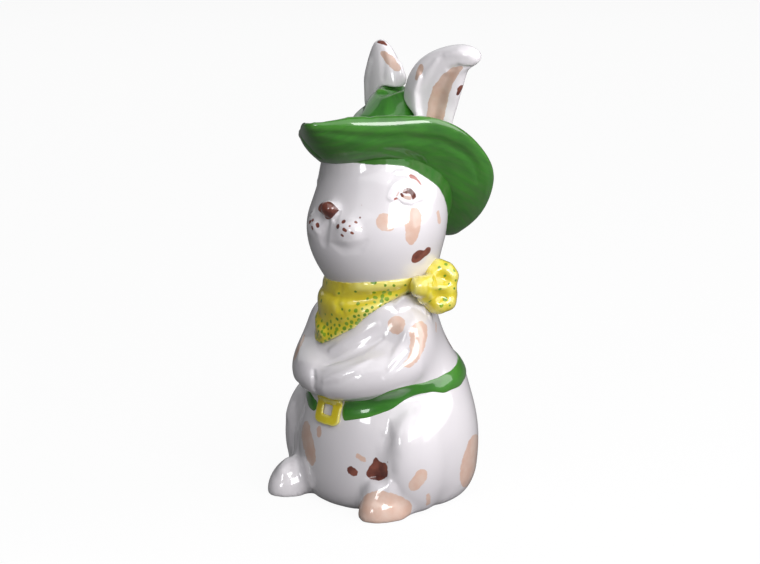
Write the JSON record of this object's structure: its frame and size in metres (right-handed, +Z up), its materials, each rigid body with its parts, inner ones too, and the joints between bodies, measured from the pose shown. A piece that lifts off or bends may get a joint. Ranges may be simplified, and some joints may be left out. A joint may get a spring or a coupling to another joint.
{
  "type": "ceramic rabbit figurine",
  "caption": "Glazed ceramic rabbit sitting upright in a curled cowboy hat, a dotted kerchief tied in a bow, and a belt with a buckle, arms folded on its belly.",
  "frame": {"origin": "middle of the flat underside", "axes": "+Z up from the underside to the ear tips, the face looks along -Y, the rabbit's own left is +X"},
  "size_m": [0.1073, 0.117, 0.243],
  "materials": {
    "white_glaze": "clear gloss glaze over white clay, hand painted spots",
    "hat_green": "gloss green underglaze, brushed, paler on the rim",
    "belt_green": "gloss green underglaze, brushed",
    "yellow_glaze": "gloss yellow underglaze with small green dots",
    "brown_glaze": "gloss brown underglaze"
  },
  "bodies": {
    "root": {"torso": "white_glaze", "head": "white_glaze", "arm_left": "white_glaze", "arm_right": "white_glaze", "haunch_left": "white_glaze", "haunch_right": "white_glaze", "foot_left": "white_glaze", "foot_right": "white_glaze", "tail": "white_glaze", "ear_left": "white_glaze", "ear_right": "white_glaze", "hat_brim": "hat_green", "hat_crown": "hat_green", "belt": "belt_green", "buckle": "yellow_glaze", "kerchief": "yellow_glaze", "bow_knot": "yellow_glaze", "bow_loop_upper": "yellow_glaze", "bow_loop_lower": "yellow_glaze", "nose": "brown_glaze", "eye_left": "brown_glaze", "eye_right": "brown_glaze"}
  },
  "joints": []
}
